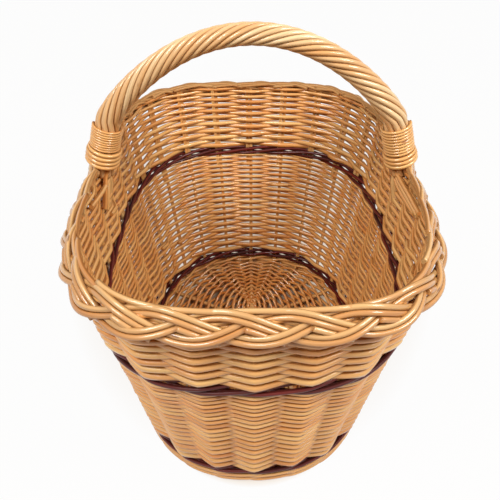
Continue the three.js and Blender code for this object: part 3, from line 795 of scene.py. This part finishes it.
rope_middle = np.stack([rope_line[:, 0], np.zeros(ROPE_STEPS), rope_line[:, 1]], axis=1)
rope_paths = rope_middle + rope_over * coil[:, None]
roping = rods("handle_roping", rope_paths, rope_over, rod_thickness, ROPE_SIDES)
roping.data.materials.append(HIGHLIT_PALE_BUFF)
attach(roping, "root")
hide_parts("handle_rope")

# Roping tails: at each foot some of the roping's rods come out under the binding, cross one another and
# run along the inner face of the border towards the front, where their ends are cut off.

TAIL_TOP = 0.281
TAIL_RADIUS = 0.0025
TAIL_SIDES = 12
TAIL_ROUNDS = 3
TAIL_REACHES = np.array([-0.0086, -0.0080, -0.0072, -0.0050])
# Each tail: where it leaves the handle along Y, then places on the inner face as Y and height.
RIGHT_TAILS = (
    (-0.006, (-0.004, 0.2620), (-0.022, 0.2620), (-0.047, 0.2640), (-0.085, 0.2660)),
    (0.000, (0.002, 0.2590), (-0.018, 0.2570), (-0.043, 0.2590), (-0.080, 0.2610)),
    (0.007, (0.009, 0.2580), (-0.010, 0.2520), (-0.036, 0.2530), (-0.070, 0.2560)),
)
LEFT_TAILS = (
    (0.007, (0.012, 0.2550), (-0.018, 0.2540), (-0.040, 0.2570), (-0.062, 0.2600)),
    (-0.007, (-0.008, 0.2640), (-0.014, 0.2560), (-0.021, 0.2430), (-0.026, 0.2340)),
    (0.000, (0.003, 0.2600), (-0.006, 0.2500), (-0.014, 0.2400), (-0.019, 0.2290)),
)


def tail_line(side, leaves, *places):
    """A tail's centre line: its place under the binding, then its places on the inner face of the wall."""
    along = np.array([place[0] for place in places])
    heights = np.array([place[1] for place in places])
    foot_stake = STAKE_COUNT / 2 - side * STAKE_COUNT / 4
    face, _ = on_wall(foot_stake + side * along * STAKE_COUNT / UPPER_WALL_LENGTH, heights, TAIL_REACHES)
    across = leg_point(TAIL_TOP)[0] - ROPE_RADIUS_FOOT + TAIL_RADIUS
    return np.concatenate([[[side * across, leaves, TAIL_TOP]], face])


tail_paths = [tail_line(1, *tail) for tail in RIGHT_TAILS] + [tail_line(-1, *tail) for tail in LEFT_TAILS]
tail_paths = rounded(np.array(tail_paths), TAIL_ROUNDS)
tail_over = tail_paths * [-1.0, 0, 0]
tails = rods("roping_tails", tail_paths, tail_over, TAIL_RADIUS, TAIL_SIDES)
tails.data.materials.append(BUFF)
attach(tails, "root")

# Bindings: a thin rod wound tightly round each foot of the handle, up from the border. Its thick end
# makes the first few turns, which sag a little in front, and its thin end the rest.

BINDING_STEPS = 40
BINDING_SIDES = 12
BINDING_FOOT = 0.2715
BINDING_SAG = 0.0012
THIN_SAG = 0.3
THINNING = 0.4
TURN_CLIMB = 2.02
BINDING_SINK = 0.0004
THICK_STANDOFF = 0.3


def binding(name, side, thick_turns, thick_radius, thin_turns, thin_radius, node):
    """A helix round a leg: the leg's point, plus the wound radius times the cosine of the angle outwards
    and its sine backwards. Each turn climbs by its own rod's thickness, and the thick turns sag in front.
    """
    turns = thick_turns + thin_turns
    turn = np.linspace(0, turns, turns * BINDING_STEPS + 1)
    thick = np.interp(turn, [thick_turns - THINNING, thick_turns + THINNING], [1, 0])
    radius = thin_radius + (thick_radius - thin_radius) * thick
    climb = summed((TURN_CLIMB * radius / BINDING_STEPS)[1:])
    angle = turn * 2 * math.pi
    height = BINDING_FOOT + radius[0] + climb * math.cos(HANDLE_LEAN)
    centre = leg_point(height)
    wound = ROPE_RADIUS_FOOT - BINDING_SINK + radius * (1 + THICK_STANDOFF * thick)
    out = np.stack([side * math.cos(HANDLE_LEAN) * np.cos(angle), np.sin(angle),
                    math.sin(HANDLE_LEAN) * np.cos(angle)], axis=1)
    path = np.stack([side * centre[:, 0], np.zeros_like(turn), centre[:, 1]], axis=1) + out * wound[:, None]
    path[:, 2] += BINDING_SAG * np.sin(angle) * (THIN_SAG + thick)
    piece = rods(name, path[None], out[None], radius, BINDING_SIDES)
    piece.data.materials.append(BUFF)
    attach(piece, "root")
    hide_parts(node)


binding("left_binding_rod", side=-1, thick_turns=4, thick_radius=0.0022, thin_turns=9, thin_radius=0.00125,
        node="left_binding")
binding("right_binding_rod", side=1, thick_turns=3, thick_radius=0.0021, thin_turns=9, thin_radius=0.00155,
        node="right_binding")

# Studio: a plain pale floor that looks white except under the basket and behind it, where its white glow is
# dimmed and tinted warm in a painted shadow, so that the gaps in the weave show beige. Two large soft lamps
# stand in front, left and right.

FLOOR_HALF_SIZE = 6
FLOOR_COLOUR = (0.52, 0.42, 0.31, 1)
FLOOR_ROUGHNESS = 0.9
WHITE = (1, 1, 1, 1)
WHITE_SHARE = 0.97
WARM_PAINTED_SHADOW = (1.0, 0.74, 0.43, 1)
SURROUND_LIGHT = 0.12

floor_mesh = bpy.data.meshes.new("floor")
corners = [(x * FLOOR_HALF_SIZE, y * FLOOR_HALF_SIZE, 0) for x, y in ((-1, -1), (1, -1), (1, 1), (-1, 1))]
floor_mesh.from_pydata(corners, [], [(0, 1, 2, 3)])
floor = bpy.data.objects.new("floor", floor_mesh)
bpy.context.scene.collection.objects.link(floor)
floor_material = bpy.data.materials.new("pale_floor")
floor_material.use_nodes = True
floor_tree = floor_material.node_tree
floor_shader = floor_tree.nodes["Principled BSDF"]
floor_shader.inputs["Base Color"].default_value = FLOOR_COLOUR
floor_shader.inputs["Roughness"].default_value = FLOOR_ROUGHNESS
spot = floor_tree.nodes.new("ShaderNodeTexCoord").outputs["Object"]


def seen_directly(tree):
    """One for a ray from the camera, a mirror-like reflection or a look through glass, and else nothing."""
    rays = tree.nodes.new("ShaderNodeLightPath").outputs
    seen = linked(tree, "ShaderNodeMath", operation="MAXIMUM",
                  i0=rays["Is Camera Ray"], i1=rays["Is Glossy Ray"])
    seen = linked(tree, "ShaderNodeMath", operation="MAXIMUM",
                  i0=seen.outputs[0], i1=rays["Is Transmission Ray"])
    return seen.outputs[0]


def from_middle(middle, half_span):
    """A floor point's distance from an oval's middle, where 1 is the oval's edge."""
    moved = linked(floor_tree, "ShaderNodeVectorMath", operation="SUBTRACT", i0=spot, i1=(*middle, 0))
    scaled = linked(floor_tree, "ShaderNodeVectorMath", operation="DIVIDE",
                    i0=moved.outputs[0], i1=(*half_span, 1))
    length = linked(floor_tree, "ShaderNodeVectorMath", operation="LENGTH", i0=scaled.outputs[0])
    return length.outputs["Value"]


def painted_light_beyond(distance, inner, outer, least):
    """The share of white at a distance, a soft painted shadow: least up to inner, and the most from outer
    on.

    Two such shares are multiplied, so the most is the square root of WHITE_SHARE.
    """
    return mapped(floor_tree, distance, inner, outer, least, math.sqrt(WHITE_SHARE))


# Painted shadow: the white glow is dimmed in two ovals, under the basket's foot and behind it, where the
# floor's real shading shows through, and what is left of the glow there is tinted warm.
foot_distance = from_middle(middle=(0, 0), half_span=(0.138, 0.190))
back_distance = from_middle(middle=(0, 0.42), half_span=(0.24, 0.46))
painted_shadow_under_foot = painted_light_beyond(foot_distance, inner=0.85, outer=1.02, least=0.0)
painted_shadow_behind_back = painted_light_beyond(back_distance, inner=0.3, outer=1.3, least=0.42)
painted_light_share = linked(floor_tree, "ShaderNodeMath", operation="MULTIPLY", i0=painted_shadow_under_foot, i1=painted_shadow_behind_back)
whiteness = linked(floor_tree, "ShaderNodeMath", operation="DIVIDE", i0=painted_light_share.outputs[0], i1=WHITE_SHARE)
painted_shadow_tint = linked(floor_tree, "ShaderNodeMix", data_type="RGBA", Factor=whiteness.outputs[0],
              i6=WARM_PAINTED_SHADOW, i7=WHITE)
glow = linked(floor_tree, "ShaderNodeEmission", Color=painted_shadow_tint.outputs[2], Strength=1.0)
seen_share = linked(floor_tree, "ShaderNodeMath", operation="MULTIPLY",
                    i0=seen_directly(floor_tree), i1=painted_light_share.outputs[0])
shown = linked(floor_tree, "ShaderNodeMixShader", Fac=seen_share.outputs[0])
floor_tree.links.new(floor_shader.outputs[0], shown.inputs[1])
floor_tree.links.new(glow.outputs[0], shown.inputs[2])
floor_tree.links.new(shown.outputs[0], floor_tree.nodes["Material Output"].inputs["Surface"])
floor_mesh.materials.append(floor_material)

# The surround looks white to the camera and in reflections, and gives the basket only a little light.
world = bpy.data.worlds.new("studio")
bpy.context.scene.world = world
world.use_nodes = True
world_tree = world.node_tree
surround = world_tree.nodes["Background"]
surround.inputs["Color"].default_value = WHITE
strength = mapped(world_tree, seen_directly(world_tree), start=0, end=1, first=SURROUND_LIGHT, last=1)
world_tree.links.new(strength, surround.inputs["Strength"])

LAMP_TARGET = (0, 0, 0.15)
LAMP_SIZE = 0.58


def lamp(name, place, power):
    """A square soft lamp that faces the middle of the basket."""
    data = bpy.data.lights.new(name, "AREA")
    data.shape = "SQUARE"
    data.size = LAMP_SIZE
    data.energy = power
    piece = bpy.data.objects.new(name, data)
    away = np.array(place) - np.array(LAMP_TARGET)
    tilt = math.atan2(math.hypot(away[0], away[1]), away[2])
    piece.location = place
    piece.rotation_euler = (tilt, 0, math.atan2(away[0], -away[1]))
    bpy.context.scene.collection.objects.link(piece)


lamp("left_lamp", place=(-0.66, -0.74, 1.32), power=17.5)
lamp("right_lamp", place=(0.88, -0.54, 1.27), power=18.5)

# Camera: where the photograph was taken from, above the front. Its place and direction, in metres, and the
# picture's shift, in pixels, were solved from the basket's outline in the photograph.

CAMERA_PLACE = (-0.00530, -0.52207, 0.54489)
CAMERA_AHEAD = (0.01699, 0.80576, -0.59200)
CAMERA_UP = (0.00525, 0.59200, 0.80592)
PICTURE_SIDE = 500
FOCAL_PIXELS = 570
SENSOR_WIDTH = 36
SHIFT_PIXELS = (7.33, 0.06)

camera_data = bpy.data.cameras.new("camera")
camera_data.sensor_width = SENSOR_WIDTH
camera_data.lens = FOCAL_PIXELS / PICTURE_SIDE * SENSOR_WIDTH
camera_data.shift_x = -SHIFT_PIXELS[0] / PICTURE_SIDE
camera_data.shift_y = SHIFT_PIXELS[1] / PICTURE_SIDE
camera = bpy.data.objects.new("camera", camera_data)
camera_right = unit(np.cross(CAMERA_AHEAD, CAMERA_UP))
camera_axes = np.eye(4)
camera_axes[:3, 0] = camera_right
camera_axes[:3, 1] = np.cross(camera_right, CAMERA_AHEAD)
camera_axes[:3, 2] = -np.array(CAMERA_AHEAD)
camera_axes[:3, 3] = CAMERA_PLACE
camera.matrix_world = Matrix(camera_axes.tolist())
bpy.context.scene.collection.objects.link(camera)
bpy.context.scene.camera = camera

bpy.context.scene.view_settings.view_transform = "Standard"
